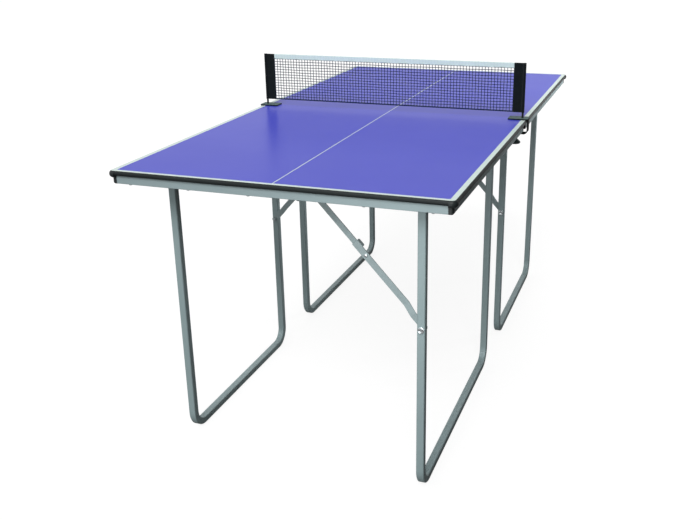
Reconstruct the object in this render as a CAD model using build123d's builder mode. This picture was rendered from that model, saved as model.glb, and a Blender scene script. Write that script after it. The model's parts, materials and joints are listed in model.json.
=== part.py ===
from build123d import *
from math import atan2, cos, hypot, sin
import os

# Midsize table tennis table: two equal halves on fold-away U legs, joined by a clamp-on net.
# Millimetres, +X to the right, +Y along the table, +Z up, origin on the floor under its middle.
# One half is modelled in its own frame: origin on the floor under its middle, +Y towards the net.
# The far half is the near one turned half a turn. Each half has one wide leg and one narrow leg,
# so that the narrow one nests inside the wide one when both are folded.

# Overall size
table_length = 1680.0
table_width = 840.0
table_height = 760.0
seam_gap = 0.6

# Playing panel and its edging
panel_thickness = 12.0
panel_corner = 9.0
band_reach = 4.0
band_height = 12.0

# Frame of rectangular tube under the panel
apron_height = 20.0
apron_depth = 10.5
apron_wall = 1.2
apron_corner = 1.0
apron_inset = 8.0
apron_seam_inset = 14.0

# Moulded corner pieces
bulb_reach = 5.2
bulb_height = 16.5
bulb_arm = 3.5
neck_thickness = 4.0
neck_lap = 1.0
block_drop = 0.6
block_proud = 0.8
block_round = 6.0
block_foot_bevel = 2.5
tenon_length = 14.0
tenon_clearance = 0.2

# U legs of square tube
tube_size = 19.0
tube_corner = 1.6
tube_wall = 1.2
bend_radius = 45.0
leg_inset = 90.0
wide_leg_margin = 60.5
narrow_leg_margin = 124.5
pivot_drop = 28.0
leg_overrun = 14.0

# Leg brackets, each with the pin on which the leg turns
bracket_sheet = 2.0
bracket_length = 36.0
bracket_flange = 20.0
ear_width = 18.0
ear_end = 9.0
ear_clip = 5.0
side_clearance = 0.3
stop_lift = 10.5
pin_radius = 3.0
pin_clearance = 0.05

# Folding braces, two links each
brace_drop = 290.0
brace_reach = 266.0
link_sheet = 2.5
link_gap = 0.2
upper_link_width = 14.0
lower_link_width = 16.0
end_plate_length = 36.0
joggle_length = 28.0
joggle_offset = 11.0
link_end = 9.0
link_corner = 4.0
hook_start = 20.0
hook_end = 40.0
hook_clearance = 0.2
thumb_depth = 10.0
thumb_round = 4.0
rivet_end = 0.6
brace_flange = 12.0
brace_bracket_length = 30.0
brace_ear_width = 18.0
brace_ear_end = 8.0
hex_across_corners = 11.5
hex_height = 4.2

# Clamp-on net
net_height = 160.0
net_clearance = 19.0
net_tape_height = 14.5
net_tape_thickness = 2.4
net_thickness = 1.2
net_columns = 20
net_rows = 4
net_strand = 1.6
net_cord_radius = 1.4
soft_clearance = 0.3
sleeve_width = 30.0
sleeve_thickness = 2.4
sleeve_cloth = 1.2
sleeve_clearance = 0.3

# Posts and clamps
post_radius = 3.0
post_inset = 15.0
clamp_lift = 0.3
clamp_plate_length = 57.5
clamp_plate_width = 38.0
clamp_plate_thickness = 3.6
clamp_plate_clip = 2.0
clamp_strap_width = 26.0
clamp_strap = 2.6
clamp_clearance = 0.4
clamp_drop = 42.0
clamp_arm_length = 52.0
clamp_curl = 9.0
clamp_nut_radius = 8.0
clamp_nut_drop = 4.0
screw_inset = 35.0
clamp_screw_radius = 4.0
pad_radius = 10.0
pad_height = 4.0
pad_clearance = 0.3
knob_radius = 17.0
knob_flats = 12
knob_neck_radius = 7.0
knob_height = 14.0
knob_rim_height = 5.0
knob_bevel = 1.5
knob_gap = 12.0

half_length = (table_length - seam_gap) / 2
underside = table_height - panel_thickness
panel_half_width = table_width / 2 - band_reach
panel_front = band_reach - half_length / 2
panel_back = half_length / 2
apron_side = table_width / 2 - apron_inset
apron_end = half_length / 2 - apron_inset
apron_seam = half_length / 2 - apron_seam_inset
apron_bottom = underside - apron_height
leg_plane = table_width / 2 - leg_inset
bracket_gap = tube_size / 2 + side_clearance
bracket_half = bracket_gap + bracket_sheet + bracket_flange

pivot_height = underside - pivot_drop
brace_bolt_height = pivot_height - brace_drop
brace_length = hypot(brace_reach, brace_drop)
fold_offset = brace_reach - brace_drop
# Both links lie level when the leg is folded: their lengths differ by the distance between
# the upper pivot and the folded leg's bolt.
lower_link_length = (brace_length - fold_offset) / 2
upper_link_length = (brace_length + fold_offset) / 2

end_plate_depth = side_clearance
link_depth = end_plate_depth + joggle_offset
upper_link_depth = link_depth + link_sheet + link_gap


def edge_plane(angle, distance, along, height):
    """Vertical plane square to an edge: local x outwards, local y down, local z along the edge."""
    outward = Vector(1, 0, 0).rotate(Axis.Z, angle)
    forward = Vector(0, 1, 0).rotate(Axis.Z, angle)
    origin = outward * distance + forward * along + Vector(0, 0, height)
    return Plane(origin=origin, x_dir=outward, z_dir=forward)


def bullnose(inner, reach, height):
    """Rounded edge profile, from local y 0 down to the height."""
    with BuildLine(mode=Mode.PRIVATE) as profile:
        Line((inner, 0), (inner, height))
        ThreePointArc((inner, height), (inner + reach, height / 2), (inner, 0))
    make_face(profile.edges())


wide_post = half_length / 2 - wide_leg_margin - tube_size / 2
narrow_post = half_length / 2 - narrow_leg_margin - tube_size / 2
leg_pivots = [(leg_plane, -wide_post), (leg_plane, wide_post)]
leg_pivots += [(-leg_plane, -narrow_post), (-leg_plane, narrow_post)]

# Brace frames: origin under the leg pivot on the leg's inner face, +X outwards, +Y into the U.
wide_brace = Plane(origin=(leg_plane, -wide_post + tube_size / 2, 0), x_dir=(1, 0, 0), z_dir=(0, 0, 1))
narrow_brace = Plane(origin=(-leg_plane, narrow_post - tube_size / 2, 0), x_dir=(-1, 0, 0), z_dir=(0, 0, 1))
braces = {"wide": wide_brace, "narrow": narrow_brace}
brace_pin_depth = upper_link_depth + link_sheet / 2
brace_pin = Vector(-brace_reach, brace_pin_depth, 0)
brace_pivots = [frame.from_local_coords(brace_pin) for frame in braces.values()]

brace_bracket_gap = link_sheet / 2 + side_clearance
brace_bracket_half = brace_bracket_gap + bracket_sheet + brace_flange

pieces = {}

# Painted board
with BuildPart() as top_panel:
    with BuildSketch(Plane.XY.offset(underside)) as board:
        with Locations((0, (panel_front + panel_back) / 2)):
            Rectangle(2 * panel_half_width, panel_back - panel_front)
        fillet(board.vertices().group_by(Axis.Y)[0], panel_corner)
    extrude(amount=panel_thickness)
pieces["top_panel"] = top_panel.part

# Rounded edge strips on three sides; the seam side of the panel is bare
side_strip_start = panel_front + panel_corner + bulb_arm
side_strip_length = half_length / 2 - side_strip_start
end_strip_length = 2 * (panel_half_width - panel_corner - bulb_arm)
with BuildPart() as edge_band:
    with BuildSketch(edge_plane(0, panel_half_width, side_strip_start, table_height)):
        bullnose(0, band_reach, band_height)
    extrude(amount=side_strip_length)
    with BuildSketch(edge_plane(180, panel_half_width, -half_length / 2, table_height)):
        bullnose(0, band_reach, band_height)
    extrude(amount=side_strip_length)
    with BuildSketch(edge_plane(270, -panel_front, -end_strip_length / 2, table_height)):
        bullnose(0, band_reach, band_height)
    extrude(amount=end_strip_length)
pieces["edge_band"] = edge_band.part

# Corner pieces: a block with tenons joins the rails at each corner of the frame. At the outer
# corners a neck goes up from the block to a bulb round the corner of the panel.
corner_x = panel_half_width - panel_corner
corner_y = panel_front + panel_corner
block_inner_x = apron_side - apron_depth
block_inner_y = apron_depth - apron_end
block_centre_x = apron_side - apron_depth / 2
tenon_width = apron_depth - 2 * (apron_wall + tenon_clearance)
tenon_height = apron_height - 2 * (apron_wall + tenon_clearance)
rail_middle = underside - apron_height / 2
outer_way = Axis((0, 0, 0), (1, -1, 0))
with BuildPart() as corner_caps:
    with BuildSketch(Plane.XY.offset(apron_bottom - block_drop)) as footprint:
        with Locations((block_inner_x, block_inner_y)):
            Rectangle(apron_depth + block_proud, apron_depth + block_proud, align=(Align.MIN, Align.MAX))
        fillet(footprint.vertices().sort_by(outer_way)[-1], block_round)
    block = extrude(amount=apron_height + block_drop)
    chamfer(block.edges().group_by(Axis.Z)[0].sort_by(outer_way)[-3:], block_foot_bevel)
    with BuildSketch(Plane.XY.offset(apron_bottom)):
        with Locations((block_inner_x, apron_seam - apron_depth)):
            Rectangle(apron_depth, apron_depth, align=(Align.MIN, Align.MIN))
    extrude(amount=apron_height)
    for end, block_face in ((-1, apron_end), (1, apron_seam)):
        block_centre_y = end * (block_face - apron_depth / 2)
        with BuildSketch(Plane.XZ.offset(-block_centre_y)):
            with Locations((block_centre_x, rail_middle)):
                Rectangle(tenon_width, tenon_height)
        extrude(amount=end * (apron_depth / 2 + tenon_length))
        with BuildSketch(Plane.YZ.offset(block_centre_x)):
            with Locations((block_centre_y, rail_middle)):
                Rectangle(tenon_width, tenon_height)
        extrude(amount=-(apron_depth / 2 + tenon_length))
    with BuildSketch(Plane.XY.offset(underside)) as neck:
        with Locations((block_inner_x, block_inner_y)):
            Rectangle(
                panel_half_width + neck_lap - block_inner_x,
                block_inner_y - panel_front + neck_lap,
                align=(Align.MIN, Align.MAX),
            )
        fillet(neck.vertices().sort_by(outer_way)[-1], panel_corner + neck_lap)
    extrude(amount=-neck_thickness)
    with BuildSketch(edge_plane(270, -corner_y, corner_x, table_height)):
        bullnose(panel_corner, bulb_reach, bulb_height)
    revolve(axis=Axis((corner_x, corner_y, 0), (0, 0, 1)), revolution_arc=90)
    with BuildSketch(edge_plane(270, -corner_y, corner_x, table_height)):
        bullnose(panel_corner, bulb_reach, bulb_height)
    extrude(amount=-bulb_arm)
    with BuildSketch(edge_plane(0, corner_x, corner_y, table_height)):
        bullnose(panel_corner, bulb_reach, bulb_height)
    extrude(amount=bulb_arm)
    mirror(about=Plane.YZ)
pieces["corner_caps"] = corner_caps.part

# Rails of the frame, between the corner pieces
side_rail_length = apron_end + apron_seam - 2 * apron_depth
cross_rail_length = 2 * (apron_side - apron_depth)
rails = {
    "right_apron": (0, apron_side, apron_depth - apron_end, side_rail_length),
    "net_apron": (90, apron_seam, -cross_rail_length / 2, cross_rail_length),
    "left_apron": (180, apron_side, apron_depth - apron_seam, side_rail_length),
    "end_apron": (270, apron_end, -cross_rail_length / 2, cross_rail_length),
}
for name, (angle, face, start, rail_length) in rails.items():
    with BuildPart() as rail:
        with BuildSketch(edge_plane(angle, face, start, underside)) as section:
            with Locations((-apron_depth / 2, apron_height / 2)):
                Rectangle(apron_depth, apron_height)
            chamfer(section.vertices(), apron_corner)
            with Locations((-apron_depth / 2, apron_height / 2)):
                Rectangle(apron_depth - 2 * apron_wall, apron_height - 2 * apron_wall, mode=Mode.SUBTRACT)
        extrude(amount=rail_length)
    pieces[name] = rail.part


def bracket(length, half, gap, width, end):
    """Pressed bracket: a plate against the panel, two ears and a pin between them, pivot at local x, y 0."""
    ear_bottom = pivot_height - end
    ear_top = underside - bracket_sheet / 2
    with BuildPart() as pressed:
        with BuildSketch(Plane.XY.offset(underside - bracket_sheet)):
            Rectangle(length, 2 * half)
        extrude(amount=bracket_sheet)
        for side in (-1, 1):
            with BuildSketch(Plane.XZ.offset(side * gap)) as ear:
                with Locations((0, ear_bottom)):
                    Rectangle(width, ear_top - ear_bottom, align=(Align.CENTER, Align.MIN))
                chamfer(ear.vertices().group_by(Axis.Y)[0], ear_clip)
            extrude(amount=side * bracket_sheet)
        with BuildSketch(Plane.XZ):
            with Locations((0, pivot_height)):
                Circle(pin_radius)
        extrude(amount=gap + bracket_sheet / 2, both=True)
    return pressed.part


# The leg brackets have a wall on the inner side of the tube that stops the leg when it stands upright
stop_height = underside - bracket_sheet - pivot_height - stop_lift
with BuildPart() as leg_bracket:
    add(bracket(bracket_length, bracket_half, bracket_gap, ear_width, ear_end))
    with BuildSketch(Plane.XY.offset(underside - bracket_sheet)):
        with Locations((-bracket_gap, 0)):
            Rectangle(bracket_sheet, 2 * bracket_gap, align=(Align.MAX, Align.CENTER))
    extrude(amount=-stop_height)
with BuildPart() as leg_brackets:
    for x, y in leg_pivots:
        seat = Plane(origin=(x, y, 0), x_dir=(x, 0, 0), z_dir=(0, 0, 1))
        with Locations(seat.location):
            add(leg_bracket.part)
pieces["leg_brackets"] = leg_brackets.part

brace_bracket = bracket(
    brace_bracket_length,
    brace_bracket_half,
    brace_bracket_gap,
    brace_ear_width,
    brace_ear_end,
)
with BuildPart() as brace_brackets:
    with Locations(*[(p.X, p.Y, 0) for p in brace_pivots]):
        add(brace_bracket)
pieces["brace_brackets"] = brace_brackets.part

# Legs: one bent tube each, drilled for the pivot pins, with the head of the brace bolt on its outer face
leg_top = pivot_height + leg_overrun
floor_line = tube_size / 2
leg_sizes = {"wide": (leg_plane, wide_post), "narrow": (-leg_plane, narrow_post)}
for name, (x, post) in leg_sizes.items():
    with BuildPart() as leg:
        with BuildLine() as route:
            FilletPolyline(
                (x, -post, leg_top),
                (x, -post, floor_line),
                (x, post, floor_line),
                (x, post, leg_top),
                radius=bend_radius,
            )
        with BuildSketch(Plane(origin=route.line @ 0, x_dir=(1, 0, 0), z_dir=route.line % 0)) as section:
            Rectangle(tube_size, tube_size)
            chamfer(section.vertices(), tube_corner)
            Rectangle(tube_size - 2 * tube_wall, tube_size - 2 * tube_wall, mode=Mode.SUBTRACT)
        sweep()
        with BuildSketch(Plane.XZ):
            with Locations((x, pivot_height)):
                Circle(pin_radius + pin_clearance)
        extrude(amount=post + tube_size, both=True, mode=Mode.SUBTRACT)
        bolt_seat = braces[name].from_local_coords((0, tube_wall / 2 - tube_size, brace_bolt_height))
        with BuildSketch(Plane(origin=bolt_seat, x_dir=(1, 0, 0), z_dir=-braces[name].y_dir)):
            RegularPolygon(hex_across_corners / 2, 6)
        extrude(amount=tube_wall / 2 + hex_height)
    pieces[f"{name}_leg"] = leg.part

# Brace links, drawn at rest in the brace frame. A link's own axes: x from the leg bolt to the
# upper pivot, y into the U, z away from the corner between leg and panel.
brace_angle = atan2(brace_drop, -brace_reach)
link_axis = Vector(cos(brace_angle), 0, sin(brace_angle))
link_normal = Vector(-sin(brace_angle), 0, cos(brace_angle))
link_edge_view = Plane(origin=(0, 0, brace_bolt_height), x_dir=link_axis, z_dir=link_normal)
link_face_view = Plane(origin=(0, 0, brace_bolt_height), x_dir=link_axis, z_dir=(0, 1, 0))
corner_side = 1 if link_face_view.y_dir.dot(Vector(1, 0, 1)) > 0 else -1

with BuildPart() as upper_link:
    with BuildSketch(link_face_view.offset(upper_link_depth)) as outline:
        with Locations((lower_link_length + upper_link_length / 2, 0)):
            Rectangle(upper_link_length + upper_link_width, upper_link_width)
        chamfer(outline.vertices(), link_corner)
        with Locations((lower_link_length, 0), (brace_length, 0)):
            Circle(pin_radius + pin_clearance, mode=Mode.SUBTRACT)
    extrude(amount=link_sheet)

joggle_start = end_plate_length
joggle_stop = end_plate_length + joggle_length
tail_end = lower_link_length + hook_end
hook_edge = upper_link_width / 2 + hook_clearance
hook_back = upper_link_depth + thumb_depth
with BuildPart() as lower_link:
    with BuildSketch(link_edge_view) as strip:
        with BuildLine():
            Polyline(
                (-link_end, end_plate_depth),
                (joggle_start, end_plate_depth),
                (joggle_stop, link_depth),
                (tail_end, link_depth),
                (tail_end, link_depth + link_sheet),
                (joggle_stop, link_depth + link_sheet),
                (joggle_start, end_plate_depth + link_sheet),
                (-link_end, end_plate_depth + link_sheet),
                close=True,
            )
        make_face()
    extrude(amount=lower_link_width / 2, both=True)
    with BuildSketch(link_face_view) as outline:
        with Locations(((tail_end - link_end) / 2, 0)):
            Rectangle(tail_end + link_end, lower_link_width)
        chamfer(outline.vertices().group_by(Axis.X)[0], link_corner)
    extrude(amount=hook_back, mode=Mode.INTERSECT)
    # The tail's corner-side edge rises to a flange that laps over the upper link and ends in a thumb tab
    with BuildSketch(link_face_view.offset(link_depth)):
        with Locations((lower_link_length + hook_start, corner_side * lower_link_width / 4)):
            Rectangle(
                hook_end - hook_start,
                hook_edge + link_sheet - lower_link_width / 4,
                align=(Align.MIN, Align.MIN if corner_side > 0 else Align.MAX),
            )
    extrude(amount=link_sheet)
    flange_face = Plane(
        origin=link_face_view.from_local_coords((lower_link_length, corner_side * hook_edge, 0)),
        x_dir=link_axis,
        z_dir=link_face_view.y_dir * corner_side,
    )
    flange_way = flange_face.y_dir.dot(Vector(0, 1, 0))
    with BuildSketch(flange_face) as flange:
        with Locations(((hook_start + hook_end) / 2, flange_way * (link_depth + hook_back) / 2)):
            Rectangle(hook_end - hook_start, hook_back - link_depth)
        fillet(flange.vertices().sort_by(Axis((0, 0, 0), (0, flange_way, 0)))[-2:], thumb_round)
    extrude(amount=link_sheet)

    # The shank of the knuckle rivet and the nut of the leg bolt are fixed in the lower link
    with BuildSketch(link_face_view.offset(link_depth + link_sheet / 2)):
        with Locations((lower_link_length, 0)):
            Circle(pin_radius)
    extrude(amount=link_sheet * 1.5 + link_gap + rivet_end)
    with BuildSketch(link_face_view.offset(end_plate_depth + link_sheet / 2)):
        RegularPolygon(hex_across_corners / 2, 6)
    extrude(amount=link_sheet / 2 + hex_height)

for name, frame in braces.items():
    pieces[f"{name}_upper_link"] = frame.location * upper_link.part
    pieces[f"{name}_lower_link"] = frame.location * lower_link.part

# Net: a holed plate stands for the knotted mesh between the top tape and the bottom cord
net_top = table_height + net_height
net_bottom = table_height + net_clearance
tape_bottom = net_top - net_tape_height
mesh_bottom = net_bottom + 2 * net_cord_radius + soft_clearance
mesh_top = tape_bottom - soft_clearance
post_x = table_width / 2 - post_inset
net_half_span = post_x - sleeve_width
net_pieces = {}
column_pitch = 2 * net_half_span / net_columns
row_pitch = (mesh_top - mesh_bottom) / net_rows


def net_frame(left, right, low, high):
    """Upright rectangle in the near face of the net."""
    corners = [(left, low), (right, low), (right, high), (left, high)]
    return Wire.make_polygon([(x, -net_thickness / 2, z) for x, z in corners])


mesh_openings = [
    net_frame(
        column_pitch * column - net_half_span + net_strand / 2,
        column_pitch * (column + 1) - net_half_span - net_strand / 2,
        row_pitch * row + mesh_bottom + net_strand / 2,
        row_pitch * (row + 1) + mesh_bottom - net_strand / 2,
    )
    for column in range(net_columns)
    for row in range(net_rows)
]
mesh_face = Face(net_frame(-net_half_span, net_half_span, mesh_bottom, mesh_top), mesh_openings)
with BuildPart() as net_mesh:
    extrude(mesh_face, amount=net_thickness, dir=(0, 1, 0))
net_pieces["net_mesh"] = net_mesh.part

with BuildPart() as net_top_tape:
    with BuildSketch(Plane.YZ) as tape_section:
        with Locations((0, (tape_bottom + net_top) / 2)):
            Rectangle(net_tape_thickness, net_tape_height)
        fillet(tape_section.vertices().group_by(Axis.Y)[-1], net_tape_thickness * 0.4)
    extrude(amount=net_half_span, both=True)
net_pieces["net_top_tape"] = net_top_tape.part

with BuildPart() as net_bottom_cord:
    with BuildSketch(Plane.YZ):
        with Locations((0, net_bottom + net_cord_radius)):
            Circle(net_cord_radius)
    extrude(amount=net_half_span, both=True)
net_pieces["net_bottom_cord"] = net_bottom_cord.part

# Cloth sleeves at the ends of the net, each with a pocket that slips over a post
pocket_radius = post_radius + sleeve_clearance
sleeve_start = net_half_span + soft_clearance
with BuildPart() as net_sleeves:
    with BuildSketch(Plane.XY.offset(net_bottom)):
        with Locations((sleeve_start, 0)):
            Rectangle(post_x - sleeve_start, sleeve_thickness, align=(Align.MIN, Align.CENTER))
        with Locations((post_x, 0)):
            Circle(pocket_radius + sleeve_cloth)
    extrude(amount=net_top - net_bottom)
    with BuildSketch(Plane.XY.offset(net_bottom)):
        with Locations((post_x, 0)):
            Circle(pocket_radius)
    extrude(amount=net_top - net_bottom - sleeve_cloth, mode=Mode.SUBTRACT)
    mirror(about=Plane.YZ)
net_pieces["net_sleeves"] = net_sleeves.part

clamp_top = table_height + clamp_lift
plate_top = clamp_top + clamp_plate_thickness
post_top = net_top - sleeve_cloth - sleeve_clearance
with BuildPart() as net_posts:
    with BuildSketch(Plane.XY.offset(clamp_top)):
        with Locations((-post_x, 0), (post_x, 0)):
            Circle(post_radius)
    extrude(amount=post_top - clamp_top)
net_pieces["net_posts"] = net_posts.part

# Clamps: a plate over the seam, a strap outside the edge and an arm below that carries the screw
strap_inner = table_width / 2 + clamp_clearance
strap_outer = strap_inner + clamp_strap
arm_bottom = table_height - clamp_drop
screw_x = table_width / 2 - screw_inset
pad_top = underside - pad_clearance
knob_top = arm_bottom - clamp_nut_drop - knob_gap
knob_bottom = knob_top - knob_height
with BuildPart() as clamp:
    with BuildSketch(Plane.XZ) as bent:
        with BuildLine():
            Polyline(
                (strap_outer - clamp_plate_length, clamp_top),
                (strap_inner, clamp_top),
                (strap_inner, arm_bottom + clamp_strap),
                (strap_outer - clamp_arm_length, arm_bottom + clamp_strap),
                (strap_outer - clamp_arm_length, arm_bottom),
                (strap_outer, arm_bottom),
                (strap_outer, plate_top),
                (strap_outer - clamp_plate_length, plate_top),
                close=True,
            )
        make_face()
        low_corners = bent.vertices().filter_by(lambda corner: corner.Y < underside)
        fillet(low_corners.sort_by(Axis.X)[-1], clamp_curl + clamp_strap)
        low_corners = bent.vertices().filter_by(lambda corner: corner.Y < underside)
        fillet(low_corners.filter_by(lambda corner: abs(corner.X - strap_inner) < 0.01), clamp_curl)
    extrude(amount=clamp_strap_width / 2, both=True)
    with BuildSketch(Plane.XY.offset(clamp_top)) as plate:
        with Locations((strap_outer - clamp_plate_length / 2, 0)):
            Rectangle(clamp_plate_length, clamp_plate_width)
        chamfer(plate.vertices(), clamp_plate_clip)
    extrude(amount=clamp_plate_thickness)
    with BuildSketch(Plane.XY.offset(arm_bottom - clamp_nut_drop)):
        with Locations((screw_x, 0)):
            RegularPolygon(clamp_nut_radius, 6)
    extrude(amount=clamp_nut_drop + clamp_strap / 2)
    with BuildSketch(Plane.XY.offset(clamp_top)):
        with Locations((post_x, 0)):
            Circle(post_radius + pin_clearance)
    extrude(amount=clamp_plate_thickness, mode=Mode.SUBTRACT)
    with BuildSketch(Plane.XY.offset(arm_bottom - clamp_nut_drop)):
        with Locations((screw_x, 0)):
            Circle(clamp_screw_radius + pin_clearance)
    extrude(amount=clamp_nut_drop + clamp_strap, mode=Mode.SUBTRACT)

with BuildPart() as clamp_pad:
    with BuildSketch(Plane.XY.offset(pad_top - pad_height)):
        with Locations((screw_x, 0)):
            Circle(pad_radius)
    extrude(amount=pad_height)

with BuildPart() as clamp_screw:
    with BuildSketch(Plane.XY.offset(knob_top)):
        with Locations((screw_x, 0)):
            Circle(clamp_screw_radius)
    extrude(amount=pad_top - pad_height - knob_top)

# Hand knob: a rim with flats for the fingers, tapering up to the screw
with BuildPart() as clamp_knob:
    with BuildSketch(Plane.XY.offset(knob_bottom)):
        with Locations((screw_x, 0)):
            RegularPolygon(knob_radius, knob_flats)
    rim = extrude(amount=knob_rim_height)
    chamfer(rim.edges().group_by(Axis.Z)[0], knob_bevel)
    with BuildSketch(Plane.XY.offset(knob_bottom + knob_rim_height)):
        with Locations((screw_x, 0)):
            RegularPolygon(knob_radius, knob_flats)
    with BuildSketch(Plane.XY.offset(knob_top)):
        with Locations((screw_x, 0)):
            RegularPolygon(knob_neck_radius, knob_flats)
    loft()

side_frames = {
    "right": Plane(origin=(0, 0, 0), x_dir=(1, 0, 0), z_dir=(0, 0, 1)),
    "left": Plane(origin=(0, 0, 0), x_dir=(-1, 0, 0), z_dir=(0, 0, 1)),
}
for side, frame in side_frames.items():
    net_pieces[f"{side}_net_clamp"] = frame.location * clamp.part
    net_pieces[f"{side}_clamp_pad"] = frame.location * clamp_pad.part
    net_pieces[f"{side}_clamp_screw"] = frame.location * clamp_screw.part
    net_pieces[f"{side}_clamp_knob"] = frame.location * clamp_knob.part

os.makedirs("parts", exist_ok=True)
half_shift = (half_length + seam_gap) / 2
half_frames = {
    "near": Plane(origin=(0, -half_shift, 0), x_dir=(1, 0, 0), z_dir=(0, 0, 1)),
    "far": Plane(origin=(0, half_shift, 0), x_dir=(-1, 0, 0), z_dir=(0, 0, 1)),
}
table = dict(net_pieces)
for half, frame in half_frames.items():
    for name, piece in pieces.items():
        table[f"{half}_{name}"] = frame.location * piece
for name, piece in table.items():
    piece.label = name
    export_step(piece, f"parts/{name}.step")
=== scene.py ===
import bpy
import bmesh
import json
import math
from mathutils import Matrix, Vector


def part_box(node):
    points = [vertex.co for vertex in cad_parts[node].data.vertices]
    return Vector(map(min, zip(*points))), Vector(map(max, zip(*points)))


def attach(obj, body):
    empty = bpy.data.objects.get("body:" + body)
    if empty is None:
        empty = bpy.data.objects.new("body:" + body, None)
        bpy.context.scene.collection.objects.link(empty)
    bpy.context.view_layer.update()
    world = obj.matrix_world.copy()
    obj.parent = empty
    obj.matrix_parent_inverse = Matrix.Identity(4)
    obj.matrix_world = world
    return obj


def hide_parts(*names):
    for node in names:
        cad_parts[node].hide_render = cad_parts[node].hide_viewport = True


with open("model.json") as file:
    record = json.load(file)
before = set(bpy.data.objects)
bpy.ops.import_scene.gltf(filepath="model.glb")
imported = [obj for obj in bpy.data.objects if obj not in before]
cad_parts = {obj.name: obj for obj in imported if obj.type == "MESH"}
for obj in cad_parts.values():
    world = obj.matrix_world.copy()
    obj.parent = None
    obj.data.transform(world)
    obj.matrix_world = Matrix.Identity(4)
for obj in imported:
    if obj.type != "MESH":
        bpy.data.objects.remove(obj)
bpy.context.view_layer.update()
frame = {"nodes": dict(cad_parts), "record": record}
nodes = frame["nodes"]
scene = bpy.context.scene

# All sizes are in metres, in the frame of the CAD model.
# Board and its painted lines
BOARD_HALF_WIDTH = 0.416
BOARD_END = 0.836
TABLE_TOP = 0.760
UNDERSIDE = 0.748
FACE_MARGIN = 0.0005
SIDE_LINE = 0.0122
END_LINE = 0.0108
HALF_CENTRE_LINE = 0.0013

# Halves, legs and braces. The far half is the near one, turned half a turn about the vertical.
HALVES = {"near": 1, "far": -1}
HALF_SHIFT = 0.42015
LEG_PLANE = 0.330
WIDE_POST = 0.34985
NARROW_POST = 0.28585
LEG_KINDS = {"wide": (1, WIDE_POST), "narrow": (-1, NARROW_POST)}
TUBE = 0.019
PIVOT_HEIGHT = 0.720
BOLT_HEIGHT = 0.430
NUT_FACE = 0.0070
BRACE_REACH = 0.266
BRACE_PIN_DEPTH = 0.01525
KNUCKLE_X, KNUCKLE_HEIGHT = -0.1411, 0.58384
LINK_FRONT, LINK_BACK = 0.0113, 0.0165

# Brackets: outer face of an ear from its pin's middle, rivet head as radius and height, screws off the middle
BRACKET_PLATE = 0.002
LEG_EAR, LEG_RIVET, LEG_SCREWS = 0.0118, (0.0052, 0.0022), (0.010, 0.0222)
BRACE_EAR, BRACE_RIVET, BRACE_SCREWS = 0.00355, (0.0046, 0.0018), (0.009, 0.0098)
KNUCKLE_RIVET = (0.0046, 0.0022)

# Screws: across the end rails as places, along the side rails as shares of the length
END_RAIL_SCREWS = (-0.368, -0.214, -0.061, 0.061, 0.214, 0.368)
SIDE_RAIL_SCREWS = (0.06, 0.28, 0.50, 0.72, 0.94)
PAN_HEAD = (0.0038, 0.0023)
DOWN = (0, 0, -1)
BOLT_PITCH, BOLT_TURNS = 0.0005, 5

# Clamps and their screws
# Heights over which a clamp plate's upper face fades into its painted sky reflection
PLATE_SHEEN_HEIGHTS = (TABLE_TOP + 0.0032, TABLE_TOP + 0.0038)
THREAD_PITCH, THREAD_ROOT, THREAD_CREST = 0.003, 0.0033, 0.0040
THREAD_SIDES, STEPS_PER_TURN, FLANK = 20, 8, 2.6

# Net: half its length, meshes, and radii of a strand between and at the knots
NET_HALF = 0.375
NET_COLUMNS, NET_ROWS = 81, 15
YARN, KNOT = 0.00094, 0.0012
ROW_KNOT = KNOT * 0.97
KNOT_SHARE = 0.22
CORD_STEPS, STEPS_PER_LAY, CORD_STRANDS = 450, 9, 3
LAY_RADIUS, LAY_OFFSET = 0.54, 0.46

# Tape and sleeves
TAPE_WALL, TAPE_STEPS, FOLD_STEPS = 0.00055, 180, 12
TAPE_STITCHES, TAPE_THREAD, TAPE_SEAM_HEIGHT = 240, 0.00028, 0.0024
GHOST_PITCH = 0.0048
POST_X = 0.405
FLAT, CLOTH, POCKET = 0.0012, 0.0006, 0.0045
SLEEVE_START = NET_HALF + 0.0003
SLEEVE_LEVELS, PANEL_STEPS, POST_STEPS = 60, 10, 16
SLEEVE_FOLD = 0.00042
SLEEVE_SEAMS = (SLEEVE_START + 0.0018, POST_X - 0.0068)
SLEEVE_STITCHES, SLEEVE_THREAD, SEAM_END = 44, 0.00026, 0.002
LID_OVERLAP = 0.0001
LID_RINGS = ((0.0002, -0.0012), (0.0, -0.0004), (0.0004, 0.0))
STITCH_START, STITCH_STOP = 0.16, 0.84

# Studio floor as radius and height, from its flat middle up into the backdrop
FLOOR_PROFILE = ((6.0, 0.0), (6.8, 0.06), (7.5, 0.25), (8.1, 0.6),
                 (8.6, 1.1), (8.9, 1.8), (9.0, 3.0), (9.0, 12.0))
FLOOR_SIDES = 64
FLOOR_GLOW = 0.87
WHITE = (1.0, 1.0, 1.0, 1.0)
SMOOTH = "SMOOTHSTEP"

# Camera fitted to the photo: angles in degrees, and lengths in pixels of the picture
YAW, PITCH, ROLL = 19.968, 20.048, -0.854
CAMERA_PLACE = (0.8270, -2.5114, 1.2923)
PICTURE_WIDTH, PICTURE_HEIGHT = 700.0, 520.0
FOCAL_LENGTH = 878.04
CENTRE_X, CENTRE_Y = 364.63, 245.55
SENSOR_WIDTH = 36.0

net_low, net_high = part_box("net_mesh")
tape_low, tape_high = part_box("net_top_tape")
sleeve_low, sleeve_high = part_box("net_sleeves")
cord_low, cord_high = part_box("net_bottom_cord")


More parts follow.
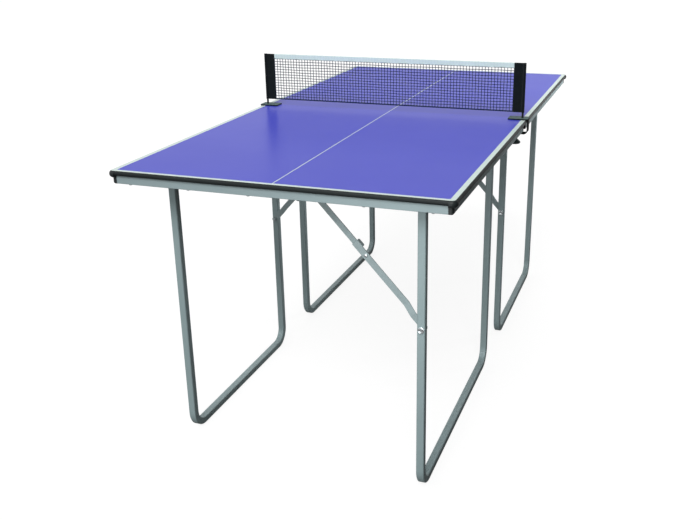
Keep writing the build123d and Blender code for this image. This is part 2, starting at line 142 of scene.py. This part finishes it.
class Nodes:
    """The node tree of a material or a world, built up piece by piece."""

    def __init__(self, owner):
        owner.use_nodes = True
        self.tree = owner.node_tree

    def node(self, kind, **values):
        made = self.tree.nodes.new(kind)
        for key, value in values.items():
            setattr(made, key, value)
        return made

    def put(self, socket, value):
        if isinstance(value, bpy.types.NodeSocket):
            self.tree.links.new(value, socket)
        else:
            socket.default_value = value

    def split(self, vector):
        made = self.node("ShaderNodeSeparateXYZ")
        self.put(made.inputs[0], vector)
        return made.outputs

    def math(self, operation, a, b=0.0):
        made = self.node("ShaderNodeMath", operation=operation)
        self.put(made.inputs[0], a)
        self.put(made.inputs[1], b)
        return made.outputs[0]

    def span(self, value, low, high, start=0.3, stop=0.7, curve="LINEAR"):
        """Takes start..stop to low..high, level beyond both ends."""
        made = self.node("ShaderNodeMapRange", interpolation_type=curve)
        self.put(made.inputs["Value"], value)
        made.inputs["From Min"].default_value = start
        made.inputs["From Max"].default_value = stop
        made.inputs["To Min"].default_value = low
        made.inputs["To Max"].default_value = high
        return made.outputs["Result"]


class Shade(Nodes):
    """A material in object coordinates."""

    SOCKETS = {"color": "Base Color", "rough": "Roughness", "metal": "Metallic",
               "sheen": "Sheen Weight", "spec": "Specular IOR Level",
               "glow_color": "Emission Color", "glow": "Emission Strength"}

    def __init__(self, name):
        self.mat = bpy.data.materials.new(name)
        super().__init__(self.mat)
        self.bsdf = self.tree.nodes["Principled BSDF"]
        self.place = self.node("ShaderNodeTexCoord").outputs["Object"]
        self.x, self.y, self.z = self.split(self.place)

    def noise(self, scale, detail=3.0, stretch=None):
        made = self.node("ShaderNodeTexNoise")
        made.inputs["Scale"].default_value = scale
        made.inputs["Detail"].default_value = detail
        place = self.place
        if stretch is not None:
            mapping = self.node("ShaderNodeMapping")
            mapping.inputs["Scale"].default_value = stretch
            self.put(mapping.inputs["Vector"], place)
            place = mapping.outputs["Vector"]
        self.put(made.inputs["Vector"], place)
        return made.outputs["Fac"]

    def wave(self, value, pitch):
        return self.math("SINE", self.math("MULTIPLY", value, 2 * math.pi / pitch))

    def mix(self, factor, a, b):
        made = self.node("ShaderNodeMix", data_type="RGBA")
        self.put(made.inputs["Factor"], factor)
        self.put(made.inputs["A"], a)
        self.put(made.inputs["B"], b)
        return made.outputs["Result"]

    def clouds(self, scale, detail, a, b):
        """Soft patches of two colours."""
        return self.mix(self.span(self.noise(scale, detail), 0.0, 1.0), a, b)

    def floor_patches(self):
        """Darker patches where a leg stands on the floor, fading out above it."""
        near = self.span(self.z, 1.0, 0.0, start=0.001, stop=0.024)
        patches = self.span(self.noise(130.0, 5.0), 0.0, 0.8, start=0.48, stop=0.62)
        return self.math("MULTIPLY", near, patches)

    def painted_plate_sheen(self):
        """Painted sky reflection on the upper face of a clamp's plate, made uneven."""
        upper = self.span(self.z, 0.0, 1.0, *PLATE_SHEEN_HEIGHTS)
        return self.math("MULTIPLY", upper, self.span(self.noise(80.0, 5.0), 0.75, 1.0))

    def bump(self, height, distance, strength):
        made = self.node("ShaderNodeBump")
        made.inputs["Distance"].default_value = distance
        made.inputs["Strength"].default_value = strength
        self.put(made.inputs["Height"], height)
        self.put(self.bsdf.inputs["Normal"], made.outputs["Normal"])

    def set(self, **values):
        for key, value in values.items():
            self.put(self.bsdf.inputs[self.SOCKETS[key]], value)


def rgb(r, g, b):
    """Linear colour from display values of 0 to 255."""
    def linear(v):
        v /= 255.0
        return v / 12.92 if v <= 0.04045 else ((v + 0.055) / 1.055) ** 2.4
    return (linear(r), linear(g), linear(b), 1.0)


def paint(name, dark, light, rough, grain=900.0, metal=0.0, spec=0.5, floor_patch_colour=None, painted_sheen=None):
    """Sprayed or moulded finish: soft cloudiness, fine orange peel and uneven gloss.

    The first extra colour is laid in patches on a leg where it stands on the floor, darker than the paint;
    the second is a painted sky reflection that lightens a clamp's upper face.
    """
    s = Shade(name)
    tone = s.clouds(9.0, 5.0, dark, light)
    if floor_patch_colour is not None:
        tone = s.mix(s.floor_patches(), tone, floor_patch_colour)
    # Painted sky reflection: lightens the upper face of a clamp's plate
    if painted_sheen is not None:
        tone = s.mix(s.painted_plate_sheen(), tone, painted_sheen)
    gloss = s.span(s.noise(35.0, 4.0), rough - 0.05, rough + 0.07)
    s.set(color=tone, rough=gloss, metal=metal, spec=spec)
    s.bump(s.noise(grain, 2.0), distance=0.00004, strength=0.6)
    return s.mat


def plated(name, dark, light, rough, metal):
    """Rolled or plated steel with faint draw marks and dull spots."""
    s = Shade(name)
    gloss = s.span(s.noise(22.0, 5.0), rough - 0.06, rough + 0.08)
    s.set(color=s.clouds(60.0, 4.0, dark, light), metal=metal, rough=gloss)
    s.bump(s.noise(700.0, 3.0), distance=0.00003, strength=0.5)
    return s.mat


def cloth(name, dark, light, pitch, depth, ghost=0.0):
    """Plain weave: two crossing waves, a little uneven. Ghost is how much of the net shows through."""
    s = Shade(name)
    weave = s.math("MULTIPLY", s.wave(s.x, pitch), s.wave(s.z, pitch))
    weave = s.math("ADD", s.math("MULTIPLY", weave, 0.5), 0.5)
    uneven = s.math("MULTIPLY", s.noise(60.0, 4.0), 0.4)
    tone = s.math("ADD", s.math("MULTIPLY", weave, 0.6), uneven)
    if ghost:
        columns = s.wave(s.x, 2 * NET_HALF / NET_COLUMNS)
        strands = s.math("MAXIMUM", columns, s.wave(s.z, GHOST_PITCH))
        shadow = s.math("MULTIPLY", s.span(strands, 0.0, 1.0, start=0.2, stop=1.0), ghost)
        tone = s.math("SUBTRACT", tone, shadow)
    gloss = s.span(s.noise(120.0), 0.84, 0.95)
    s.set(color=s.mix(tone, dark, light), rough=gloss, sheen=0.1, spec=0.2)
    s.bump(weave, depth, strength=0.7)
    return s.mat


def board_paint():
    """Blue-violet satin paint with white border lines and a thin centre line; bare fibreboard below."""
    s = Shade("board_paint")
    ax = s.math("ABSOLUTE", s.x)
    ay = s.math("ABSOLUTE", s.y)
    side = s.math("GREATER_THAN", ax, BOARD_HALF_WIDTH - SIDE_LINE)
    end = s.math("GREATER_THAN", ay, BOARD_END - END_LINE)
    middle = s.math("LESS_THAN", ax, HALF_CENTRE_LINE)
    white = s.math("MAXIMUM", s.math("MAXIMUM", side, end), middle)
    white = s.math("MULTIPLY", white, s.math("GREATER_THAN", s.z, TABLE_TOP - FACE_MARGIN))
    blue = s.clouds(5.0, 6.0, rgb(70, 76, 198), rgb(73, 79, 201))
    line = s.clouds(70.0, 5.0, rgb(206, 222, 216), rgb(214, 229, 224))
    scratches = s.noise(26.0, 8.0, stretch=(1.0, 0.25, 1.0))
    scuffs = s.span(scratches, 0.0, 0.006, start=0.60, stop=0.78)
    face = s.mix(scuffs, s.mix(white, blue, line), rgb(120, 122, 190))
    fibre = s.clouds(45.0, 6.0, rgb(100, 95, 88), rgb(122, 116, 107))
    painted = s.math("GREATER_THAN", s.z, UNDERSIDE + FACE_MARGIN)
    gloss = s.span(s.noise(6.0, 3.0), 0.285, 0.305)
    s.set(color=s.mix(painted, fibre, face), rough=gloss, spec=0.12)
    s.bump(s.noise(1500.0, 2.0), distance=0.000004, strength=0.1)
    return s.mat


looks = {
    "playing_board": board_paint(),
    "black_edging": paint("edge_plastic", rgb(20, 26, 27), rgb(29, 36, 37), rough=0.45, spec=0.3),
    "black_corner": paint("corner_plastic", rgb(30, 36, 37), rgb(40, 46, 47), rough=0.42, spec=0.3),
    "silver_paint": paint("frame_silver", rgb(144, 162, 165), rgb(150, 168, 171), rough=0.46, metal=0.1),
    "leg_paint": paint("leg_silver", rgb(140, 159, 161), rgb(146, 165, 167), rough=0.44, metal=0.1,
                       floor_patch_colour=rgb(95, 100, 100)),
    "link_steel": plated("link_zinc", rgb(142, 158, 160), rgb(150, 166, 168), rough=0.50, metal=0.15),
    "zinc": plated("fastener_zinc", rgb(205, 214, 218), rgb(235, 240, 242), rough=0.26, metal=0.9),
    "net_cord": cloth("net_yarn", rgb(10, 26, 54), rgb(24, 44, 76), pitch=0.0006, depth=0.00004),
    "white_tape": cloth("tape_cotton", rgb(204, 227, 219), rgb(235, 250, 243), pitch=0.0009,
                        depth=0.00008, ghost=0.22),
    "black_cloth": cloth("sleeve_cloth", rgb(6, 13, 14), rgb(15, 24, 25), pitch=0.0009, depth=0.00008),
    "post_steel": paint("post_black", rgb(16, 20, 21), rgb(28, 33, 34), rough=0.38, spec=0.3),
    # Clamp paint, with a painted sky reflection lightening its plate's upper face
    "clamp_paint": paint("clamp_black", rgb(12, 18, 18), rgb(19, 26, 25), rough=0.60, spec=0.1,
                         painted_sheen=rgb(88, 107, 107)),
    "pad_rubber": paint("pad_rubber", rgb(20, 21, 22), rgb(30, 31, 32), rough=0.75, grain=500.0, spec=0.2),
    "black_knob": paint("knob_plastic", rgb(54, 68, 68), rgb(64, 79, 79), rough=0.50, spec=0.3),
    "thread": cloth("sewing_thread", rgb(180, 204, 204), rgb(220, 236, 236), pitch=0.0005, depth=0.00002),
    "dark_thread": cloth("dark_sewing_thread", rgb(30, 36, 38), rgb(52, 60, 62), pitch=0.0005,
                         depth=0.00002),
}
slot_of = {part["node"]: part["material_slot"] for part in frame["record"]["subparts"]}
for name, obj in nodes.items():
    obj.data.materials.clear()
    obj.data.materials.append(looks[slot_of[name]])


def add(name, data):
    """Puts a new object in the scene."""
    obj = bpy.data.objects.new(name, data)
    scene.collection.objects.link(obj)
    return obj


def mesh_of(name, bm):
    """Turns what was built into a mesh, and lets go of the builder."""
    mesh = bpy.data.meshes.new(name)
    bm.normal_update()
    bm.to_mesh(mesh)
    bm.free()
    return mesh


def piece(name, bm, body, slot, look=None, stands_for=None):
    """Makes a mesh object that rides on a CAD body."""
    mesh = mesh_of(name, bm)
    obj = add(name, mesh)
    mesh.materials.append(looks[look or slot])
    for face in mesh.polygons:
        face.use_smooth = True
    mesh.set_sharp_from_angle(angle=math.radians(40))
    if stands_for:
        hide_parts(stands_for)
    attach(obj, body)
    return obj


def wobble(i, j, k=0):
    """Small repeatable unevenness between -1 and 1."""
    v = math.sin(i * 12.9898 + j * 78.233 + k * 37.719) * 43758.5453
    return 2 * (v - math.floor(v)) - 1


def round_steps(count):
    """Angles of one turn."""
    return [2 * math.pi * k / count for k in range(count)]


def skin(bm, loops, closed=True):
    """Faces between one loop of points and the next; if closed, the first and last loops are capped."""
    count = len(loops[0])
    for a, b in zip(loops, loops[1:]):
        for k in range(count):
            bm.faces.new((a[k], a[(k + 1) % count], b[(k + 1) % count], b[k]))
    if closed:
        bm.faces.new(list(reversed(loops[0])))
        bm.faces.new(loops[-1])


def tube(bm, points, radii, sides):
    """Tube through points, with one radius per point; its rings start on the Y side."""
    loops = []
    for i, point in enumerate(points):
        before = points[max(i - 1, 0)]
        after = points[min(i + 1, len(points) - 1)]
        along = (Vector(after) - Vector(before)).normalized()
        side = Vector((0, 1, 0))
        side = (side - along * side.dot(along)).normalized()
        up = along.cross(side)
        loops.append([bm.verts.new(Vector(point) + radii[i] * (math.cos(t) * side + math.sin(t) * up))
                      for t in round_steps(sides)])
    skin(bm, loops)


def turned(bm, place, way, rings, sides=24, shape=None):
    """Head or shank about the way it points, from its seat outwards.

    Each ring is a radius and a height. A shape gives the share of the radius at an angle of a ring.
    """
    way = Vector(way).normalized()
    across = way.orthogonal().normalized()
    beside = way.cross(across)
    loops = []
    for number, (radius, height) in enumerate(rings):
        loop = []
        for angle in round_steps(sides):
            reach = radius * (shape(angle, number) if shape else 1.0)
            off = reach * (math.cos(angle) * across + math.sin(angle) * beside)
            loop.append(bm.verts.new(Vector(place) + way * height + off))
        loops.append(loop)
    skin(bm, loops)


def rivet_head(bm, place, way, size):
    """Domed head; its rings are shares of the radius and height."""
    radius, height = size
    rings = [(1.0, 0.0), (1.0, 0.22), (0.93, 0.45), (0.78, 0.70), (0.55, 0.88), (0.28, 0.98), (0.05, 1.0)]
    turned(bm, place, way, [(radius * r, height * h) for r, h in rings])


def pan_screw(bm, place, way):
    """Pan head with a cross recess; its rings are shares of the radius and height."""
    def cross(angle, number):
        arm = math.degrees(angle) % 90 < 16 or math.degrees(angle) % 90 > 74
        return 1.0 if number < 4 or arm else 0.36
    radius, height = PAN_HEAD
    rings = [(1.0, 0.0), (1.0, 0.4), (0.9, 0.78), (0.72, 0.97), (0.58, 1.0), (0.48, 0.55), (0.06, 0.5)]
    turned(bm, place, way, [(radius * r, height * h) for r, h in rings], shape=cross)


def bolt_head(bm, place, way):
    """Washer and hexagon head with a turned face."""
    def hexagon(angle, number):
        corner = math.cos(math.radians(30)) / math.cos(math.radians(math.degrees(angle) % 60 - 30))
        return corner if number < 2 else 1.0
    washer = [(0.0080, 0.0), (0.0080, 0.0008), (0.0076, 0.0011), (0.0030, 0.0011)]
    head = [(0.0068, 0.0010), (0.0068, 0.0044), (0.0058, 0.0050),
            (0.0040, 0.0050), (0.0036, 0.0047), (0.0004, 0.0047)]
    turned(bm, place, way, washer)
    turned(bm, place, way, head, shape=hexagon)


def bolt_end(bm, place, way):
    """Threaded end of a bolt, standing out of its nut."""
    rings = []
    for turn in range(BOLT_TURNS):
        rings += [(0.0030, turn * BOLT_PITCH), (0.0026, turn * BOLT_PITCH + BOLT_PITCH / 2)]
    turned(bm, place, way, rings + [(0.0022, 0.0028), (0.0004, 0.0028)], sides=16)


def bracket_fasteners(rivets, screws, pin, ear, rivet, screw):
    """Rivet heads on both ears of a bracket, and four screws through its plate up into the board."""
    plate = Vector((pin.x, pin.y, UNDERSIDE - BRACKET_PLATE))
    screw_x, screw_y = screw
    for way in (-1, 1):
        rivet_head(rivets, pin + Vector((0, way * ear, 0)), (0, way, 0), rivet)
        for along in (-screw_x, screw_x):
            pan_screw(screws, plate + Vector((along, way * screw_y, 0)), DOWN)


def in_half(turn, x, y, z):
    """Place in a half's own frame."""
    return Vector((turn * x, turn * (y - HALF_SHIFT), z))


def in_brace(leg, x, y, z):
    """Place in a brace's own frame: outwards, into the leg, up."""
    turn, side, post = leg
    return in_half(turn, side * (LEG_PLANE + x), side * (TUBE / 2 - post + y), z)


# Fasteners of the two halves
for half, turn in HALVES.items():
    rivets = bmesh.new()
    screws = bmesh.new()
    for kind, (side, post) in LEG_KINDS.items():
        leg = (turn, side, post)
        inwards = Vector((0, turn * side, 0))
        bolt = bmesh.new()
        bolt_head(bolt, in_brace(leg, 0, -TUBE, BOLT_HEIGHT), -inwards)
        bolt_end(bolt, in_brace(leg, 0, NUT_FACE, BOLT_HEIGHT), inwards)
        piece(f"{half}_{kind}_leg_bolt", bolt, f"{half}_{kind}_leg", "zinc")
        knuckle = bmesh.new()
        for depth, way in ((LINK_FRONT, -inwards), (LINK_BACK, inwards)):
            rivet_head(knuckle, in_brace(leg, KNUCKLE_X, depth, KNUCKLE_HEIGHT), way, KNUCKLE_RIVET)
        piece(f"{half}_{kind}_knuckle_rivet", knuckle, f"{half}_{kind}_lower_link", "zinc")
        for end in (-1, 1):
            pivot = in_half(turn, side * LEG_PLANE, end * post, PIVOT_HEIGHT)
            bracket_fasteners(rivets, screws, pivot, LEG_EAR, LEG_RIVET, LEG_SCREWS)
        pin = in_brace(leg, -BRACE_REACH, BRACE_PIN_DEPTH, PIVOT_HEIGHT)
        bracket_fasteners(rivets, screws, pin, BRACE_EAR, BRACE_RIVET, BRACE_SCREWS)
    for rail in ("end_apron", "net_apron"):
        low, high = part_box(f"{half}_{rail}")
        for x in END_RAIL_SCREWS:
            pan_screw(screws, (x, (low.y + high.y) / 2, low.z), DOWN)
    for rail in ("right_apron", "left_apron"):
        low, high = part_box(f"{half}_{rail}")
        for share in SIDE_RAIL_SCREWS:
            y = low.y + share * (high.y - low.y)
            pan_screw(screws, ((low.x + high.x) / 2, y, low.z), DOWN)
    piece(f"{half}_bracket_rivets", rivets, f"{half}_half", "zinc")
    piece(f"{half}_screws", screws, f"{half}_half", "zinc")

# Clamp screws: coarse rolled thread from the knob up to the pad
for side in ("right", "left"):
    low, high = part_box(f"{side}_clamp_screw")
    middle = (low + high) / 2
    steps = round((high.z - low.z) / THREAD_PITCH * STEPS_PER_TURN)
    screw = bmesh.new()
    loops = []
    for step in range(steps + 1):
        z = low.z + (high.z - low.z) * step / steps
        loop = []
        for k, angle in enumerate(round_steps(THREAD_SIDES)):
            phase = ((z - low.z) / THREAD_PITCH - k / THREAD_SIDES) % 1.0
            rise = min(1.0, FLANK * min(phase, 1.0 - phase))
            radius = THREAD_ROOT + (THREAD_CREST - THREAD_ROOT) * rise
            x, y = middle.x + radius * math.cos(angle), middle.y + radius * math.sin(angle)
            loop.append(screw.verts.new((x, y, z)))
        loops.append(loop)
    skin(screw, loops)
    piece(f"{side}_threaded_screw", screw, f"{side}_clamp_screw", "zinc", stands_for=f"{side}_clamp_screw")


def along_net(share):
    """X at a share of the net's length."""
    return -NET_HALF + 2 * NET_HALF * share


def knot(i, j):
    """Place of a knot of the net, a little uneven except round the edge."""
    x = along_net(i / NET_COLUMNS)
    z = net_low.z + (net_high.z - net_low.z) * j / NET_ROWS
    if 0 < i < NET_COLUMNS:
        x += 0.00035 * wobble(i, j)
    if 0 < j < NET_ROWS:
        z += 0.0003 * wobble(i, j, 1) + 0.0005 * math.sin(i * 0.31 + j * 0.7)
    return Vector((x, 0, z))


def strand(bm, knots, swell):
    """Strand of the net that swells at its knots."""
    points, radii = [knots[0]], [swell]
    for a, b in zip(knots, knots[1:]):
        points += [a.lerp(b, KNOT_SHARE), a.lerp(b, 1 - KNOT_SHARE), b]
        radii += [YARN, YARN, swell]
    tube(bm, points, radii, 5)


# Knotted net at its real mesh
net = bmesh.new()
for i in range(NET_COLUMNS + 1):
    strand(net, [knot(i, j) for j in range(NET_ROWS + 1)], KNOT)
for j in range(NET_ROWS + 1):
    strand(net, [knot(i, j) for i in range(NET_COLUMNS + 1)], ROW_KNOT)
piece("knotted_net", net, "net", "net_cord", stands_for="net_mesh")

# Bottom cord: three strands laid together
cord_middle = (cord_low + cord_high) / 2
cord_radius = (cord_high.z - cord_low.z) / 2
lay_offset = LAY_OFFSET * cord_radius
cord = bmesh.new()
for lay in range(CORD_STRANDS):
    points = []
    for step in range(CORD_STEPS + 1):
        angle = 2 * math.pi * (step / STEPS_PER_LAY + lay / CORD_STRANDS)
        points.append((along_net(step / CORD_STEPS), lay_offset * math.cos(angle),
                       cord_middle.z + lay_offset * math.sin(angle)))
    tube(cord, points, [LAY_RADIUS * cord_radius] * len(points), 6)
piece("bottom_cord", cord, "net", "net_cord", stands_for="net_bottom_cord")


def stitches(bm, start, stop, count, radius):
    """Row of short thread stitches that dip into the cloth at both ends."""
    start, stop = Vector(start), Vector(stop)
    for n in range(count):
        a = start.lerp(stop, (n + STITCH_START) / count)
        b = start.lerp(stop, (n + STITCH_STOP) / count)
        tube(bm, [a, a.lerp(b, 0.2), a.lerp(b, 0.5), a.lerp(b, 0.8), b],
             [radius * 0.35, radius * 0.9, radius, radius * 0.9, radius * 0.35], 5)


def folded_section(half, wall, height):
    """Section of a strip folded over the net's top: y and z round the outside, then the inside."""
    outer, inner = [], []
    for t in range(FOLD_STEPS + 1):
        angle = math.pi * t / FOLD_STEPS
        for line, radius in ((outer, half), (inner, half - wall)):
            line.append((radius * math.cos(angle), height - half + radius * math.sin(angle)))
    waist = 0.62 * half
    down = [(waist, 0.62 * height), (waist, 0.34 * height), (waist * 0.94, 0.16 * height), (waist, 0.0)]
    slim = [(y - wall, z) for y, z in down]
    outside = list(reversed(down)) + outer + [(-y, z) for y, z in down]
    inside = [(-y, z) for y, z in reversed(slim)] + list(reversed(inner)) + slim
    return outside + inside


# White tape folded over the top of the net and sewn through along its lower edge
tape_height = tape_high.z - tape_low.z
tape_half = (tape_high.y - tape_low.y) / 2
section = folded_section(tape_half, TAPE_WALL, tape_height)
tape = bmesh.new()
loops = []
for step in range(TAPE_STEPS + 1):
    x = along_net(step / TAPE_STEPS)
    sway = 0.00018 * math.sin(step * 0.45) + 0.00012 * math.sin(step * 1.1 + 1.0)
    hem = 0.00025 * math.sin(step * 0.75 + 0.5)
    loops.append([tape.verts.new((x, y + sway, tape_low.z + z + hem * (1 - z / tape_height)))
                  for y, z in section])
skin(tape, loops)
top_tape = piece("top_tape", tape, "net", "white_tape", stands_for="net_top_tape")
seam = bmesh.new()
for face in (-1, 1):
    y, z = face * tape_half * 0.64, tape_low.z + TAPE_SEAM_HEIGHT
    stitches(seam, (-NET_HALF + 0.001, y, z), (NET_HALF - 0.001, y, z), TAPE_STITCHES, TAPE_THREAD)
tape_seam = piece("tape_seam", seam, "net", "white_tape", "thread")


def wall_line(thin):
    """Sleeve seen from above: along the front panel, round the post and back along the rear panel."""
    flat, pocket = FLAT - thin, POCKET - thin
    join = math.asin(flat / pocket)
    panel = POST_X - pocket * math.cos(join) - SLEEVE_START
    front = [(SLEEVE_START + panel * k / PANEL_STEPS, -flat) for k in range(PANEL_STEPS)]
    pouch = []
    for k in range(POST_STEPS + 1):
        angle = -math.pi + join + (2 * math.pi - 2 * join) * k / POST_STEPS
        pouch.append((POST_X + pocket * math.cos(angle), pocket * math.sin(angle)))
    return front + pouch + [(x, -y) for x, y in reversed(front)]


def sleeve_fold(x, y, t, sign):
    """How far the cloth stands off its plain form; t is the share of the height."""
    calm = min(1.0, 6 * t, 6 * (1 - t))
    u = (x - SLEEVE_START) / (POST_X - SLEEVE_START)
    crease = math.sin(40 * t + 4.5 * u + 1.7 * sign) * 0.6 + math.sin(23 * t - 7.0 * u) * 0.4
    outwards = 1 if y > 0 else -1
    return SLEEVE_FOLD * calm * crease * outwards * (0.35 + 0.65 * math.sin(math.pi * min(u, 1.0)))


# Cloth sleeves: a double panel sewn to the net, folded round the post and closed over its top
sleeve_height = sleeve_high.z - sleeve_low.z
outline = wall_line(0.0) + list(reversed(wall_line(CLOTH)))
for side, sign in (("right", 1), ("left", -1)):
    sleeve = bmesh.new()
    loops = []
    for level in range(SLEEVE_LEVELS + 1):
        t = level / SLEEVE_LEVELS
        z = sleeve_low.z + sleeve_height * t
        loop = [sleeve.verts.new((sign * x, y + sleeve_fold(x, y, t, sign), z)) for x, y in outline]
        loops.append(loop if sign > 0 else list(reversed(loop)))
    skin(sleeve, loops, closed=False)
    for loop, upward in ((loops[0], False), (loops[-1], True)):
        for k in range(len(outline) // 2 - 1):
            quad = (loop[k], loop[k + 1], loop[-2 - k], loop[-1 - k])
            sleeve.faces.new(quad if upward else tuple(reversed(quad)))
    piece(f"{side}_sleeve", sleeve, "net", "black_cloth", stands_for="net_sleeves")
    lid = bmesh.new()
    loops = []
    for thin, rise in LID_RINGS:
        loop = [lid.verts.new((sign * x, y, sleeve_high.z + rise))
                for x, y in wall_line(CLOTH - LID_OVERLAP + thin)]
        loops.append(loop if sign > 0 else list(reversed(loop)))
    skin(lid, loops)
    piece(f"{side}_sleeve_lid", lid, "net", "black_cloth")
    rows = bmesh.new()
    for face in (-1, 1):
        for seam_x in SLEEVE_SEAMS:
            x, y = sign * seam_x, face * (FLAT + 0.00005)
            stitches(rows, (x, y, sleeve_low.z + SEAM_END), (x, y, sleeve_high.z - SEAM_END),
                     SLEEVE_STITCHES, SLEEVE_THREAD)
    piece(f"{side}_sleeve_seam", rows, "net", "black_cloth", "dark_thread")

# Studio floor: pale and glowing, sweeping up into a backdrop. Only the camera sees it, so it lights nothing.
bowl = bmesh.new()
loops = []
for radius, height in FLOOR_PROFILE:
    loops.append([bowl.verts.new((radius * math.cos(t), radius * math.sin(t), height))
                  for t in round_steps(FLOOR_SIDES)])
skin(bowl, loops, closed=False)
bowl.faces.new(loops[0])
bmesh.ops.recalc_face_normals(bowl, faces=bowl.faces)
bmesh.ops.reverse_faces(bowl, faces=bowl.faces)
mesh = mesh_of("floor", bowl)
for face in mesh.polygons:
    face.use_smooth = len(face.vertices) == 4
floor = add("floor", mesh)
s = Shade("floor_white")
s.set(color=s.mix(s.noise(0.8, 2.0), (0.15, 0.15, 0.15, 1), (0.17, 0.17, 0.17, 1)), rough=0.9, spec=0.2,
      glow_color=WHITE, glow=FLOOR_GLOW)
mesh.materials.append(s.mat)
floor.visible_diffuse = False
floor.visible_glossy = False
floor.visible_shadow = False

# Surroundings: bright above, dark on the right, with a low glow behind the table
scene.view_settings.view_transform = "Standard"
world = bpy.data.worlds.new("studio")
scene.world = world
sky = Nodes(world)
way_x, way_y, way_z = sky.split(sky.node("ShaderNodeTexCoord").outputs["Generated"])
overhead = sky.span(way_z, 0.22, 0.80, start=-0.25, stop=0.15, curve=SMOOTH)
right_side = sky.span(way_x, 1.0, 0.05, start=0.02, stop=0.60, curve=SMOOTH)
behind = sky.span(way_y, 0.0, 0.35, start=0.90, stop=0.98, curve=SMOOTH)
low_down = sky.span(way_z, 1.0, 0.0, start=-0.12, stop=0.02, curve=SMOOTH)
light = sky.math("ADD", sky.math("MULTIPLY", overhead, right_side), sky.math("MULTIPLY", behind, low_down))
background = sky.tree.nodes["Background"]
sky.put(background.inputs["Strength"], light)
sky.put(background.inputs["Color"], WHITE)


def aim(obj, direction):
    """Points a lamp."""
    obj.rotation_euler = Vector(direction).to_track_quat("-Z", "Y").to_euler()


def soft_box(name, place, target, size, power, spread):
    """Square lamp that shines at a target; its spread is in degrees."""
    data = bpy.data.lights.new(name, "AREA")
    data.size = size
    data.energy = power
    data.spread = math.radians(spread)
    obj = add(name, data)
    obj.location = place
    aim(obj, Vector(target) - Vector(place))


# Frontal key light and small fills
key_data = bpy.data.lights.new("key", "SUN")
key_data.energy = 2.0
key_data.angle = math.radians(28)
key = add("key", key_data)
aim(key, (-0.10, 0.76, -0.74))
soft_box("front_fill", (0.36, -1.9, 0.42), (0.27, -0.78, 0.58), size=0.4, power=0.45, spread=55)
soft_box("left_fill", (-0.40, -1.9, 0.35), (-0.33, -0.80, 0.62), size=0.4, power=0.16, spread=60)
soft_box("side_fill", (1.7, 1.5, 1.0), (0.42, 0.60, 0.74), size=0.6, power=2.2, spread=45)

cam_data = bpy.data.cameras.new("camera")
cam = add("camera", cam_data)
yaw, pitch, roll = (math.radians(v) for v in (YAW, PITCH, ROLL))
forward = Vector((-math.sin(yaw) * math.cos(pitch), math.cos(yaw) * math.cos(pitch), -math.sin(pitch)))
level = Vector((math.cos(yaw), math.sin(yaw), 0))
above = level.cross(forward)
right = math.cos(roll) * level + math.sin(roll) * above
up = -math.sin(roll) * level + math.cos(roll) * above
facing = Matrix((right, up, -forward)).transposed().to_4x4()
cam.matrix_world = Matrix.Translation(CAMERA_PLACE) @ facing
cam_data.sensor_width = SENSOR_WIDTH
cam_data.lens = FOCAL_LENGTH * SENSOR_WIDTH / PICTURE_WIDTH
cam_data.shift_x = (PICTURE_WIDTH / 2 - CENTRE_X) / PICTURE_WIDTH
cam_data.shift_y = (CENTRE_Y - PICTURE_HEIGHT / 2) / PICTURE_WIDTH
scene.camera = cam

bpy.context.view_layer.update()
